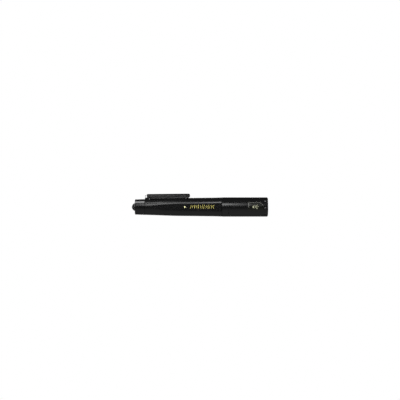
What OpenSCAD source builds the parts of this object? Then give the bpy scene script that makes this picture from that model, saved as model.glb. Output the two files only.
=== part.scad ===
// Pen torch with a tail push button, a sprung pocket clip and a screw-on lamp head.
// Millimetres. The pen's axis runs along X: tail at -X, lamp at +X, clip on top at +Z.
// Stations (s) are distances along the pen from the tip of the button.

/* [Overall size] */
// Length from the tip of the button to the front rim
overall_l = 140; // [130:1:150]
// Radius of the lamp head
head_r = 9.95; // [9.6:0.05:11]
// Length of the lamp head
head_l = 47.3; // [46:0.1:50]
// Radius of the tail end
tail_r = 7.78; // [7.6:0.02:8.2]
// Distance across the two side flats
flat_gap = 16.48; // [16.2:0.02:17.4]
// Corner radius of the front rim
rim_round = 1.35; // [0.8:0.05:1.7]

/* [Battery cells] */
// Radius of one AAA cell with its wrap
cell_r = 5.25; // [5:0.05:5.25]
// Length of one AAA cell with its nub
cell_l = 44.5; // [43.5:0.1:44.5]

/* [Push button] */
// Radius of the domed button
button_r = 4.15; // [3.4:0.05:4.5]
// Distance the button moves when pressed
button_travel = 1.5; // [0.8:0.1:1.5]

/* [Screw joint] */
// Pitch of the thread between barrel and head
thread_pitch = 1.75; // [1.5:0.25:2]
// Turns of thread in mesh when the head is tight
thread_turns = 4; // [2:1:5]

/* [Pocket clip] */
// Width of the clip
clip_w = 7; // [6:0.1:7]
// Thickness of the clip's two cheeks
clip_wall = 1.4; // [1:0.1:1.5]
// Height of the clip's back above the pen's axis, at the heel
clip_h = 13.34; // [13:0.05:14.5]
// Station of the clip's nose
clip_end = 60; // [50:0.1:75]
// Radius of the hinge pin
pin_r = 0.6; // [0.5:0.05:0.75]

/* [Lamp] */
// Radius of the lamp cavity in the head
lamp_r = 8; // [7:0.1:8.2]
// Radius of one snap stud of the lens ring
stud_r = 1; // [0.7:0.05:1.2]
// Number of snap studs round the head
stud_count = 8; // [4:1:10]
// Angle from the side of the print down to the nearest stud
stud_turn = 5; // [-20:1:20]

/* [Hidden] */
$fn = 96;
fit = 0.05;
tail_s = 3.2;
tail_wall = 2;
barrel_s = 13.25;
barrel_tail_r = 8.13;
neck_tail_r = 7;
neck_tail_s = 9.5;
cup_r = 5.75;
cup_end = 15.4;
bore_r = cell_r + 0.25;
head_s = overall_l - head_l;
neck_s = head_s - 0.1;
neck_r = 7.3;
neck_end = head_s + 16.9;
seat_r = 7.85;
ring_s = neck_end + 0.3;
flange_s = ring_s + 0.3;
cavity_s = flange_s + 1.2;
strip_z = -bore_r - 0.12;
cells_s = neck_end - 0.6 - 2 * cell_l;
thread_s = head_s + 4.3;
ridge_r = neck_r + 0.45;
pin_s = 18;
pin_z = 8.2;
clip_inner = clip_w / 2 - clip_wall;
web_z = clip_h - 0.99;
ear_gap = clip_w / 2 + 0.2;
ear_w = 1.3;
bend_s = 14.95;
bend_z = web_z - 1.51;
bend_r = 1.48;
leaf_t = 0.4;
lens_s = overall_l - 7.45;
ring_front = overall_l - 1;
stud_s = overall_l - 3;
plunger_s = 8.45;

function arc(cx, cy, r, a0, a1, n) =
  [for (i = [0 : n]) [cx + r * cos(a0 + (a1 - a0) * i / n), cy + r * sin(a0 + (a1 - a0) * i / n)]];
function helix_point(p, pitch, t) = [p[0] * cos(360 * t), p[0] * sin(360 * t), p[1] + pitch * t];
function quad(a, b, m) = [[a, b, a + m], [b, b + m, a + m]];

// A closed profile swept along a right-hand helix about Z.
module helix(profile, pitch, turns, steps) {
  m = len(profile);
  n = turns * steps;
  points = [for (i = [0 : n]) for (p = profile) helix_point(p, pitch, i / steps)];
  sides = [for (i = [0 : n - 1]) for (j = [0 : m - 1]) each quad(m * i + j, m * i + (j + 1) % m, m)];
  first = [for (j = [m - 1 : -1 : 0]) j];
  last = [for (j = [0 : m - 1]) m * n + j];
  polyhedron(points, concat([first], sides, [last]));
}

// Local Z laid along the pen, with its origin at station s.
module along(s) {
  translate([s - overall_l / 2, 0, head_r]) rotate([0, 90, 0]) children();
}

// The children turned about the pen's axis.
module around(angle) {
  translate([0, 0, head_r]) rotate([angle, 0, 0]) translate([0, 0, -head_r]) children();
}

module rod(r, s0, s1) {
  along(s0) cylinder(r = r, h = s1 - s0);
}

module sleeve(r_in, r_out, s0, s1) {
  turned([[r_in, s0], [r_out, s0], [r_out, s1], [r_in, s1]]);
}

// A profile of [radius, station] points turned about the pen's axis.
module turned(profile) {
  along(0) rotate_extrude() polygon(profile);
}

module block(s0, s1, y0, y1, z0, z1) {
  translate([s0 - overall_l / 2, y0, head_r + z0]) cube([s1 - s0, y1 - y0, z1 - z0]);
}

// A profile of [station, height] points between two planes across the pen.
module side_plate(profile, y0, y1) {
  translate([-overall_l / 2, y1, head_r]) rotate([90, 0, 0])
    linear_extrude(height = y1 - y0) polygon(profile);
}

module cross_rod(r, s, z, y0, y1) {
  translate([s - overall_l / 2, y1, head_r + z]) rotate([90, 0, 0]) cylinder(r = r, h = y1 - y0);
}

module coil(r, wire_r, s0, s1, turns) {
  profile = [for (k = [0 : 7]) [r + wire_r * cos(45 * k), wire_r * sin(45 * k)]];
  along(s0 + wire_r) helix(profile, (s1 - s0 - 2 * wire_r) / turns, turns, 24);
}

module seal(r_mid, cord_r, s) {
  along(s) rotate_extrude() translate([r_mid, 0]) circle(r = cord_r, $fn = 32);
}

// ---- barrel ----

module barrel_body() {
  turned([[cup_r, neck_tail_s], [neck_tail_r, neck_tail_s], [neck_tail_r, 11], [6.4, 11], [6.4, 11.8],
    [neck_tail_r, 11.8], [neck_tail_r, barrel_s], [barrel_tail_r, barrel_s], [9.2, 46], [9.7, 88],
    [9.88, neck_s], [neck_r, neck_s], [neck_r, neck_s + 1.4], [6.58, neck_s + 1.4],
    [6.58, neck_s + 2.8], [neck_r, neck_s + 2.8], [neck_r, neck_end - 0.4], [neck_r - 0.4, neck_end],
    [bore_r, neck_end], [bore_r, cup_end], [cup_r, cup_end]]);
  along(thread_s) helix([[neck_r - 0.3, -0.55], [ridge_r, -0.2], [ridge_r, 0.2], [neck_r - 0.3, 0.55]],
    thread_pitch, thread_turns, 24);
  clip_ear(ear_gap, ear_gap + ear_w);
  clip_ear(-ear_gap - ear_w, -ear_gap);
}

module clip_ear(y0, y1) {
  side_plate(concat([[13.4, 6.2], [pin_s + 2, 6.2]], arc(pin_s, pin_z, 2, 0, 100, 8),
    [[13.9, 9.3], [13.4, 8.8]]), y0, y1);
}

module barrel() {
  color([0.03, 0.03, 0.032])
  difference() {
    barrel_body();
    block(barrel_s - 1, neck_s + 2, flat_gap / 2, flat_gap / 2 + 5, -6, 6);
    block(barrel_s - 1, neck_s + 2, -flat_gap / 2 - 5, -flat_gap / 2, -6, 6);
    block(pin_s - 1.6, pin_s + 1.7, -ear_gap + 0.1, ear_gap - 0.1, 6.7, 12);
    block(bend_s + 0.3, bend_s + 0.8, -1.85, 1.85, 7, 12);
    block(cup_end - 1, neck_end + 1, -1.6, 1.6, strip_z - 0.03, -3);
    cross_rod(pin_r + 0.01, pin_s, pin_z, -6, 6);
  }
}

module return_strip() {
  color([0.78, 0.6, 0.28]) {
    block(cup_end + 0.2, neck_end + 0.28, -1.5, 1.5, strip_z, strip_z + 0.3);
    block(neck_end + 0.02, neck_end + 0.28, -1.5, 1.5, -neck_r + 0.5, strip_z + 0.1);
  }
}

module neck_seal_ring() {
  color([0.05, 0.05, 0.05]) seal(7.2, 0.6, neck_s + 2.1);
}

// ---- tail: cap, seals and switch ----

module tail_cap() {
  hole_r = button_r + 0.08;
  color([0.03, 0.03, 0.032])
  turned(concat([[hole_r, tail_s]], arc(tail_r - 0.45, tail_s + 0.45, 0.45, -90, 0, 5),
    [[8.12, barrel_s - fit], [neck_tail_r + fit, barrel_s - fit], [neck_tail_r + fit, neck_tail_s - 0.1],
    [cup_r, neck_tail_s - 0.1], [cup_r, tail_s + tail_wall], [hole_r, tail_s + tail_wall]]));
}

module tail_seal_ring() {
  color([0.05, 0.05, 0.05]) seal(6.72, 0.3, 11.4);
}

module button_cap() {
  color([0.04, 0.04, 0.042]) {
    intersection() {
      along(button_r) sphere(r = button_r);
      rod(button_r + 1, -1, button_r);
    }
    rod(button_r, button_r, tail_s + tail_wall + 0.5);
    rod(button_r + 0.75, tail_s + tail_wall + fit, tail_s + tail_wall + 1.05);
    rod(1.6, tail_s + tail_wall, plunger_s - 0.05);
  }
}

module button_seal() {
  color([0.06, 0.06, 0.06]) sleeve(1.65, cup_r - fit, 7.9, 8.9);
}

module seal_washer() {
  color([0.75, 0.76, 0.78]) sleeve(1.75, cup_r - fit, 8.92, neck_tail_s - 0.12);
}

module switch_housing() {
  color([0.85, 0.84, 0.8])
  difference() {
    turned([[1.65, neck_tail_s], [cup_r - fit, neck_tail_s], [cup_r - fit, 15.2], [0.65, 15.2],
      [0.65, 14.2], [3.2, 14.2], [3.2, 10.3], [1.65, 10.3]]);
    block(14, 14.8, -1.05, 1.05, -6, -0.95);
    block(14.4, 15.5, -1.05, 1.05, -5.45, -4.9);
  }
}

module switch_plunger() {
  color([0.9, 0.9, 0.88]) {
    rod(1.6, plunger_s, 10.9);
    rod(2.9, 10.35, 10.9);
    rod(0.9, 10.5, 12);
  }
}

module contact_bridge() {
  color([0.78, 0.6, 0.28]) rod(1.9, 12.02, 12.3);
}

module plunger_spring() {
  color([0.7, 0.7, 0.72]) coil(2.45, 0.2, 10.95, 14.15, 3);
}

module return_terminal() {
  color([0.78, 0.6, 0.28]) {
    block(13.85, 14.7, -0.35, 0.35, -1.7, -1.05);
    block(14.4, 14.7, -1, 1, -5.3, -1.05);
    block(14.4, 17.6, -1, 1, -5.3, -5.02);
  }
}

module battery_terminal() {
  color([0.78, 0.6, 0.28]) {
    rod(0.6, 13.85, 15.3);
    rod(4, 15.22, 15.45);
  }
}

module battery_spring() {
  color([0.7, 0.7, 0.72]) coil(3.2, 0.23, 15.5, cells_s - 0.03, 4);
}

// ---- battery cells ----

module cell(s) {
  turned([[0, s], [cell_r - 0.35, s], [cell_r - 0.1, s + 0.3], [cell_r - 0.1, s + cell_l - 1.1],
    [cell_r - 0.4, s + cell_l - 0.8], [1.9, s + cell_l - 0.8], [1.9, s + cell_l - 0.02],
    [0, s + cell_l - 0.02]]);
}

module rear_cell() {
  color([0.8, 0.8, 0.8]) cell(cells_s);
}

module rear_cell_wrap() {
  color([0.15, 0.3, 0.2]) sleeve(cell_r - 0.09, cell_r, cells_s + 0.4, cells_s + cell_l - 1.2);
}

module front_cell() {
  color([0.8, 0.8, 0.8]) cell(cells_s + cell_l);
}

module front_cell_wrap() {
  front = cells_s + cell_l;
  color([0.15, 0.3, 0.2]) sleeve(cell_r - 0.09, cell_r, front + 0.4, front + cell_l - 1.2);
}

// ---- pocket clip ----

module clip_side() {
  back = clip_h + 0.39;
  side_plate(concat([[15.45, 10.1], [15.45, clip_h - 0.7], [15.75, clip_h - 0.15], [16.3, clip_h]],
    [[clip_end - 4.6, back]], arc(clip_end - 1.7, back - 1.7, 1.7, 85, 0, 7),
    [[clip_end - 0.15, 11.2], [clip_end - 0.4, 10.6], [clip_end - 0.7, 10.12], [clip_end - 1.1, 9.75],
      [clip_end - 1.6, 9.5], [clip_end - 2.1, 9.42], [clip_end - 3.3, 9.4], [clip_end - 4.7, 9.43]],
    [[clip_end - 5, 8.95], [20.4, 8.15], [19.6, 7.9]],
    arc(pin_s, pin_z, 1.35, -20, -180, 10), [[pin_s - 1.45, 10.1]]), -clip_w / 2, clip_w / 2);
}

// The clip's outline from above, with a rounded nose, and its rounded section.
module clip_envelope() {
  w = clip_w / 2;
  r = 2.4;
  translate([-overall_l / 2, 0, head_r + 5]) linear_extrude(height = 12)
    polygon(concat([[14, -w], [clip_end - r, -w]], arc(clip_end - r, -w + r, r, -90, 0, 8),
      arc(clip_end - r, w - r, r, 0, 90, 8), [[14, w]]));
}

// The clip's back is crowned: an arc across its width that meets the cheeks at a blunt edge.
module clip_section() {
  w = clip_w / 2;
  top = clip_h + 0.39;
  drop = 2.25;
  crown_r = (w * w + drop * drop) / (2 * drop);
  edge = asin((crown_r - drop) / crown_r);
  translate([0, 0, head_r]) rotate([90, 0, 90]) translate([0, 0, -overall_l / 2])
    linear_extrude(height = overall_l)
      polygon(concat([[-w, 5], [w, 5]], arc(0, top - crown_r, crown_r, edge, 180 - edge, 18)));
}

module pocket_clip() {
  color([0.03, 0.03, 0.032])
  difference() {
    intersection() {
      clip_side();
      clip_envelope();
      clip_section();
    }
    block(10, clip_end - 4.8, -clip_inner, clip_inner, 5, web_z);
    along(46) cylinder(r1 = 9.45, r2 = 9.56, h = clip_end - 4.7 - 46);
    along(19.4) cylinder(r1 = 8.58, r2 = 9.45, h = 46 - 19.4 + 0.001);
    cross_rod(pin_r + 0.05, pin_s, pin_z, -6, 6);
  }
}

module clip_pin() {
  color([0.75, 0.76, 0.78]) cross_rod(pin_r, pin_s, pin_z, -ear_gap - ear_w - 0.1, ear_gap + ear_w + 0.1);
}

module clip_spring() {
  top = bend_z + bend_r;
  foot = bend_s + 0.35;
  color([0.8, 0.81, 0.83])
  side_plate(concat([[20, top - leaf_t], [20, top]], arc(bend_s, bend_z, bend_r, 90, 270, 16),
    [[foot, bend_z - bend_r], [foot, 7.05], [foot + leaf_t, 7.05], [foot + leaf_t, bend_z - bend_r + leaf_t]],
    arc(bend_s, bend_z, bend_r - leaf_t, 270, 90, 16)), -1.8, 1.8);
}

// ---- lamp head ----

module head_body() {
  turned(concat([[seat_r, head_s], [head_r, head_s]],
    arc(head_r - rim_round, overall_l - rim_round, rim_round, 0, 90, 7),
    [[lamp_r + 0.15, overall_l], [lamp_r, overall_l - 0.3], [lamp_r, cavity_s], [6.3, cavity_s],
    [6.3, flange_s], [seat_r, flange_s]]));
  along(thread_s + thread_pitch / 2)
    helix([[neck_r + 0.15, 0.2], [neck_r + 0.15, -0.2], [seat_r + 0.3, -0.6], [seat_r + 0.3, 0.6]],
      thread_pitch, thread_turns, 24);
}

module studs(r, r0, r1) {
  for (k = [0 : stud_count - 1])
    around(360 / stud_count * k + stud_turn) translate([stud_s - overall_l / 2, 0, head_r]) rotate([90, 0, 0])
      translate([0, 0, r0]) cylinder(r = r, h = r1 - r0);
}

module head_shell() {
  color([0.03, 0.03, 0.032])
  difference() {
    head_body();
    studs(stud_r + 0.05, lamp_r - 0.5, head_r + 0.5);
    around(32) block(head_s + 6.25, head_s + 7.15, -head_r - 1, -head_r + 1.2, -2.5, 2.5);
  }
}

module ring_contact() {
  color([0.78, 0.6, 0.28]) {
    sleeve(5.2, seat_r - 0.1, ring_s, flange_s - 0.02);
    block(flange_s - 0.15, cavity_s + 1.98, -1, 1, 5.3, 5.7);
    block(flange_s - 0.15, cavity_s + 1.98, -1, 1, -5.7, -5.3);
  }
}

module contact_carrier() {
  color([0.85, 0.84, 0.8])
  difference() {
    turned([[1.55, flange_s + 0.02], [6.25, flange_s + 0.02], [6.25, cavity_s + fit],
      [lamp_r - fit, cavity_s + fit], [lamp_r - fit, cavity_s + 2], [1.55, cavity_s + 2]]);
    block(flange_s - 1, cavity_s + 3, -1.05, 1.05, 5.25, 5.75);
    block(flange_s - 1, cavity_s + 3, -1.05, 1.05, -5.75, -5.25);
  }
}

module centre_contact() {
  color([0.78, 0.6, 0.28]) {
    rod(1.5, neck_end - 0.55, cavity_s + 1.98);
    rod(2.6, neck_end - 0.55, neck_end - 0.1);
  }
}

module driver_board() {
  color([0.05, 0.25, 0.12]) rod(lamp_r - 0.1, cavity_s + 2.02, cavity_s + 3.2);
}

module board_components() {
  front = cavity_s + 3.22;
  color([0.12, 0.12, 0.13]) {
    block(front, front + 0.9, -3.4, -0.6, -1.6, 1.6);
    block(front, front + 0.7, 1.2, 3.2, 0.8, 2);
    block(front, front + 0.7, 1.2, 3.2, -2, -0.8);
  }
}

module heat_sink() {
  rear = cavity_s + 3.22;
  color([0.75, 0.76, 0.78])
  turned([[6.4, rear], [lamp_r - fit, rear], [lamp_r - fit, rear + 5.3], [0.8, rear + 5.3],
    [0.8, rear + 1.8], [6.4, rear + 1.8]]);
}

module led_board() {
  rear = cavity_s + 8.54;
  color([0.9, 0.9, 0.9]) sleeve(0.8, 7, rear, rear + 1);
}

module led_emitter() {
  base = cavity_s + 9.56;
  color([0.95, 0.85, 0.35]) {
    block(base, base + 0.7, -1.75, 1.75, -1.75, 1.75);
    intersection() {
      along(base + 0.6) sphere(r = 1.3);
      rod(2, base + 0.5, base + 2.5);
    }
  }
}

module reflector() {
  rear = cavity_s + 9.56;
  rim = lens_s - 0.05;
  bowl = [for (i = [0 : 10]) let (t = i / 10) [2.6 + (lamp_r - 0.9 - 2.6) * sqrt(t), rear + (rim - rear) * t]];
  color([0.85, 0.86, 0.88])
  turned(concat(bowl, [[lamp_r - 0.1, rim], [lamp_r - 0.1, rim - 1.2], [5.8, rear + 1.6], [4.4, rear]]));
}

module lens_window() {
  color([0.8, 0.88, 0.92, 0.4]) rod(lamp_r - 0.1, lens_s, lens_s + 1.8);
}

module lens_gasket() {
  color([0.06, 0.06, 0.06]) sleeve(lamp_r - 1.2, lamp_r - 0.1, lens_s + 1.82, lens_s + 2.6);
}

module lens_ring() {
  color([0.3, 0.3, 0.305]) {
    turned([[lamp_r - 1.3, lens_s + 2.62], [lamp_r - 0.05, lens_s + 2.62], [lamp_r - 0.05, ring_front],
      [lamp_r - 0.7, ring_front]]);
    studs(stud_r, lamp_r - 0.6, head_r - 0.45);
  }
}

barrel();
tail_cap();
tail_seal_ring();
neck_seal_ring();
return_strip();
clip_pin();
clip_spring();
button_seal();
seal_washer();
switch_housing();
return_terminal();
battery_terminal();
battery_spring();
button_cap();
switch_plunger();
contact_bridge();
plunger_spring();
rear_cell();
rear_cell_wrap();
front_cell();
front_cell_wrap();
head_shell();
ring_contact();
contact_carrier();
centre_contact();
driver_board();
board_components();
heat_sink();
led_board();
led_emitter();
reflector();
lens_window();
lens_gasket();
lens_ring();
pocket_clip();
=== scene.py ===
import math

import bmesh
import bpy
import numpy as np
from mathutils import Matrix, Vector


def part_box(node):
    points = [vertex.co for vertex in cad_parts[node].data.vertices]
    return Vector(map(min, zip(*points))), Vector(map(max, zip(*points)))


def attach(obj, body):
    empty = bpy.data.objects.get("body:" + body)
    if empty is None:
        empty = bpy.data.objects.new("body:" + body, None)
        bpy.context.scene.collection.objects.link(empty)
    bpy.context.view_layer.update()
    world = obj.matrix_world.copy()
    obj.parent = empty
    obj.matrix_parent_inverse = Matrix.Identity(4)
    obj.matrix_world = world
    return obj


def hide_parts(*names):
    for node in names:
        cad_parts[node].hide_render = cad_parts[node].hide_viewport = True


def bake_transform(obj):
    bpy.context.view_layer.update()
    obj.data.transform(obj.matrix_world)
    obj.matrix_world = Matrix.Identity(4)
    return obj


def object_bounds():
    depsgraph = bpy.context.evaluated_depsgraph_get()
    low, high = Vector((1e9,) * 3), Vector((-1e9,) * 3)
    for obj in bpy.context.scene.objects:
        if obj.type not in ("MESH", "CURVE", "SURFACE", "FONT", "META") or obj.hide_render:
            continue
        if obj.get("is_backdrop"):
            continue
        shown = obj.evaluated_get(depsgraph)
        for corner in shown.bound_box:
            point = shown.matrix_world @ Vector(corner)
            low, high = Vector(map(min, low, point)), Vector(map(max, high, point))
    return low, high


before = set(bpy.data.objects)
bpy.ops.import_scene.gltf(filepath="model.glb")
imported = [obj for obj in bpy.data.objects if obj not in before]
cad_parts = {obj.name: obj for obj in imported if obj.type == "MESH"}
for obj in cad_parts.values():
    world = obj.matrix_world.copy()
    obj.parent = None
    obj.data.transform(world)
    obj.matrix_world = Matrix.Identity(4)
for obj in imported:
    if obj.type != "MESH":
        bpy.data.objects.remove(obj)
cad_low, cad_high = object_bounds()

MM = 0.001
TIP_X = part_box("button_cap")[0].x
SHELL_LOW, SHELL_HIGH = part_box("head_shell")
AXIS_Z = (SHELL_LOW.z + SHELL_HIGH.z) / 2


# ---- shapes: points are (station from the button's tip, y, height over the axis), in millimetres ----


def spot(s, y, z):
    return (TIP_X + s * MM, y * MM, AXIS_Z + z * MM)


class Shape:
    """Points and faces gathered before they become one mesh."""

    def __init__(self):
        self.points, self.faces = [], []

    def add(self, points, faces):
        base = len(self.points)
        self.points += [tuple(float(c) for c in p) for p in points]
        self.faces += [tuple(base + i for i in f) for f in faces]

    def loft(self, rings, closed=False, caps=False, keep=None):
        """Quads between rings that have the same number of points; closed joins the last to the first."""
        rings = np.asarray(rings, float)
        rows, cols = rings.shape[:2]
        faces = []
        for i in range(rows if closed else rows - 1):
            for j in range(cols):
                if keep is not None and not keep(i, j):
                    continue
                k, m = (i + 1) % rows, (j + 1) % cols
                faces.append((i * cols + j, i * cols + m, k * cols + m, k * cols + j))
        if caps:
            faces.append(tuple(range(cols))[::-1])
            faces.append(tuple(range((rows - 1) * cols, rows * cols)))
        self.add(rings.reshape(-1, 3), faces)

    def zip(self, ring_a, ring_b, angles_a, angles_b):
        """Triangles between two rings with different numbers of points, given in order of angle."""
        na, nb = len(ring_a), len(ring_b)
        faces, i, j = [], 0, 0
        while i < na or j < nb:
            next_a = angles_a[(i + 1) % na] + 360 * ((i + 1) // na) if i < na else 1e9
            next_b = angles_b[(j + 1) % nb] + 360 * ((j + 1) // nb) if j < nb else 1e9
            if next_a <= next_b:
                faces.append((i % na, (i + 1) % na, na + j % nb))
                i += 1
            else:
                faces.append((i % na, na + (j + 1) % nb, na + j % nb))
                j += 1
        self.add(list(ring_a) + list(ring_b), faces)


def rounded(path, steps=5, closed=True):
    """Corners (a, b, radius) of a polygon, each turned into an arc."""
    out, n = [], len(path)
    for i, (x, y, radius) in enumerate(path):
        if radius <= 0 or (not closed and i in (0, n - 1)):
            out.append((x, y))
            continue
        p = np.array((x, y), float)
        a = np.array(path[i - 1][:2], float) - p
        b = np.array(path[(i + 1) % n][:2], float) - p
        la, lb = np.linalg.norm(a), np.linalg.norm(b)
        a, b = a / la, b / lb
        angle = math.acos(float(np.clip(a @ b, -1, 1)))
        cut = min(radius / math.tan(angle / 2), 0.49 * la, 0.49 * lb)
        radius = cut * math.tan(angle / 2)
        centre = p + (a + b) / np.linalg.norm(a + b) * radius / math.sin(angle / 2)
        first, last = p + a * cut - centre, p + b * cut - centre
        start = math.atan2(first[1], first[0])
        turn = math.atan2(last[1], last[0]) - start
        turn = (turn + math.pi) % (2 * math.pi) - math.pi
        for k in range(steps + 1):
            t = start + turn * k / steps
            out.append((centre[0] + radius * math.cos(t), centre[1] + radius * math.sin(t)))
    return out


def arc(cx, cy, radius, start, end, steps):
    angles = np.radians(np.linspace(start, end, steps + 1))
    return [(cx + radius * math.cos(t), cy + radius * math.sin(t)) for t in angles]


def polar(s, r, angle):
    """A point at that angle from straight up, turning towards the camera's side."""
    return (s, -r * math.sin(math.radians(angle)), r * math.cos(math.radians(angle)))


def lathe(shape, profile, columns=144, closed=True):
    """A profile of (station, radius) turned about the pen's axis."""
    angles = np.arange(columns) * 360 / columns
    shape.loft([[polar(s, r, a) for a in angles] for s, r in profile], closed=closed)


def curve_through(xs, ys, x):
    """A smooth curve through a few stations."""
    xs, ys = np.asarray(xs, float), np.asarray(ys, float)
    slopes = np.gradient(ys, xs)
    i = int(np.clip(np.searchsorted(xs, x) - 1, 0, len(xs) - 2))
    h = xs[i + 1] - xs[i]
    t = (x - xs[i]) / h
    return (
        (2 * t**3 - 3 * t**2 + 1) * ys[i]
        + (t**3 - 2 * t**2 + t) * h * slopes[i]
        + (3 * t**2 - 2 * t**3) * ys[i + 1]
        + (t**3 - t**2) * h * slopes[i + 1]
    )


def smoothstep(low, high, x):
    t = min(1.0, max(0.0, (x - low) / (high - low)))
    return t * t * (3 - 2 * t)


def tube(shape, path, radius, sides=12):
    """A round wire along a path in 3-D, with flat ends."""
    path = np.asarray(path, float)
    along = np.gradient(path, axis=0)
    along /= np.linalg.norm(along, axis=1)[:, None]
    normal = np.cross(along[0], (0.3, 0.2, 0.93))
    rings = []
    for p, d in zip(path, along):
        normal = normal - d * (normal @ d)
        normal /= np.linalg.norm(normal)
        other = np.cross(d, normal)
        rings.append([
            p + radius * (math.cos(t) * normal + math.sin(t) * other)
            for t in np.arange(sides) * 2 * math.pi / sides
        ])
    shape.loft(rings, caps=True)


def slab(shape, outline, y0, y1, edge):
    """An outline of (station, height) between two planes across the pen, with rounded edges."""
    outline = np.asarray(outline, float)
    ahead = np.roll(outline, -1, axis=0) - outline
    behind = outline - np.roll(outline, 1, axis=0)
    after = np.roll(outline, -1, axis=0)
    area = (outline[:, 0] * after[:, 1] - after[:, 0] * outline[:, 1]).sum()
    side = ahead / np.linalg.norm(ahead, axis=1)[:, None]
    side = side + behind / np.linalg.norm(behind, axis=1)[:, None]
    inward = np.stack((-side[:, 1], side[:, 0]), 1) * np.sign(area)
    inward /= np.linalg.norm(inward, axis=1)[:, None]
    turns = [math.pi / 2 * k / 4 for k in range(5)]
    rings = []
    for y, into, order in ((y0, edge, turns), (y1, -edge, turns[::-1])):
        for t in order:
            p = outline + inward * edge * (1 - math.sin(t))
            rings.append([(a, y + into * (1 - math.cos(t)), b) for a, b in p])
    shape.loft(rings, caps=True)


def piece(name, shape, body, material, replaces=(), sharp=40, blend=None):
    mesh = bpy.data.meshes.new(name)
    mesh.from_pydata([spot(*p) for p in shape.points], [], shape.faces)
    bm = bmesh.new()
    bm.from_mesh(mesh)
    bmesh.ops.remove_doubles(bm, verts=bm.verts, dist=3e-7)
    bmesh.ops.recalc_face_normals(bm, faces=bm.faces)
    bm.to_mesh(mesh)
    bm.free()
    mesh.validate()
    mesh.shade_smooth()
    mesh.set_sharp_from_angle(angle=math.radians(sharp))
    mesh.materials.append(material)
    obj = bpy.data.objects.new(name, mesh)
    bpy.context.scene.collection.objects.link(obj)
    weighted = obj.modifiers.new("weighted_normals", "WEIGHTED_NORMAL")
    weighted.keep_sharp = True
    if blend:
        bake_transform(obj)
    else:
        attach(obj, body)
    if replaces:
        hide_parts(*replaces)
    return obj


# ---- materials ----


class Tree:
    """A material's nodes, with textures laid out in millimetres of the object's own space."""

    def __init__(self, name):
        self.material = bpy.data.materials.new(name)
        self.material.use_nodes = True
        self.nodes = self.material.node_tree.nodes
        self.links = self.material.node_tree.links
        self.shader = self.nodes["Principled BSDF"]
        self.place = self.node("ShaderNodeTexCoord").outputs["Object"]
        self.bumps = []

    def node(self, kind, inputs=(), **settings):
        made = self.nodes.new(kind)
        for key, value in settings.items():
            setattr(made, key, value)
        for key, value in dict(inputs).items():
            self.feed(made, key, value)
        return made

    def feed(self, target, key, value):
        if isinstance(value, bpy.types.NodeSocket):
            self.links.new(value, target.inputs[key])
        else:
            target.inputs[key].default_value = value

    def scaled(self, x, y, z):
        made = self.node("ShaderNodeMapping", {"Vector": self.place})
        made.inputs["Scale"].default_value = (x / MM, y / MM, z / MM)
        return made.outputs[0]

    def noise(self, scale, detail=2.0, stretch=(1, 1, 1), rough=0.5):
        """Noise with that many features a millimetre."""
        return self.node(
            "ShaderNodeTexNoise",
            {"Vector": self.scaled(*stretch), "Scale": scale, "Detail": detail, "Roughness": rough},
        ).outputs[0]

    def cells(self, scale, feature="F1"):
        return self.node(
            "ShaderNodeTexVoronoi", {"Vector": self.scaled(1, 1, 1), "Scale": scale}, feature=feature
        ).outputs[0]

    def span(self, value, low, high, to_low, to_high):
        return self.node(
            "ShaderNodeMapRange",
            {0: value, 1: low, 2: high, 3: to_low, 4: to_high},
        ).outputs[0]

    def math(self, operation, a, b=0.0):
        return self.node("ShaderNodeMath", {0: a, 1: b}, operation=operation).outputs[0]

    def mix(self, share, a, b):
        made = self.node("ShaderNodeMix", data_type="RGBA")
        for key, value in ((0, share), (6, a), (7, b)):
            if not isinstance(value, bpy.types.NodeSocket) and key:
                value = (*value, 1.0)
            self.feed(made, key, value)
        return made.outputs[2]

    def wear(self, radius):
        """High along convex edges, broken up by noise."""
        bevel = self.node("ShaderNodeBevel", {"Radius": radius * MM}, samples=4).outputs[0]
        normal = self.node("ShaderNodeNewGeometry").outputs["Normal"]
        same = self.node("ShaderNodeVectorMath", {0: bevel, 1: normal}, operation="DOT_PRODUCT")
        edge = self.span(same.outputs["Value"], 0.995, 0.9, 0.0, 1.0)
        return self.math("MULTIPLY", edge, self.span(self.noise(1.3, 4.0), 0.35, 0.65, 0.15, 1.0))

    def bump(self, height, distance):
        """distance is the full height of the bump, in millimetres."""
        self.bumps.append((height, distance))

    def finish(self, **values):
        normal = None
        for height, distance in self.bumps:
            made = self.node(
                "ShaderNodeBump", {"Strength": 1.0, "Distance": distance * MM, "Height": height}
            )
            if normal is not None:
                self.links.new(normal, made.inputs["Normal"])
            normal = made.outputs[0]
        if normal is not None:
            self.links.new(normal, self.shader.inputs["Normal"])
        for key, value in values.items():
            key = key.replace("_", " ")
            if key in ("Base Color", "Emission Color") and not isinstance(value, bpy.types.NodeSocket):
                value = (*value, 1.0)
            self.feed(self.shader, key, value)
        return self.material


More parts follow.
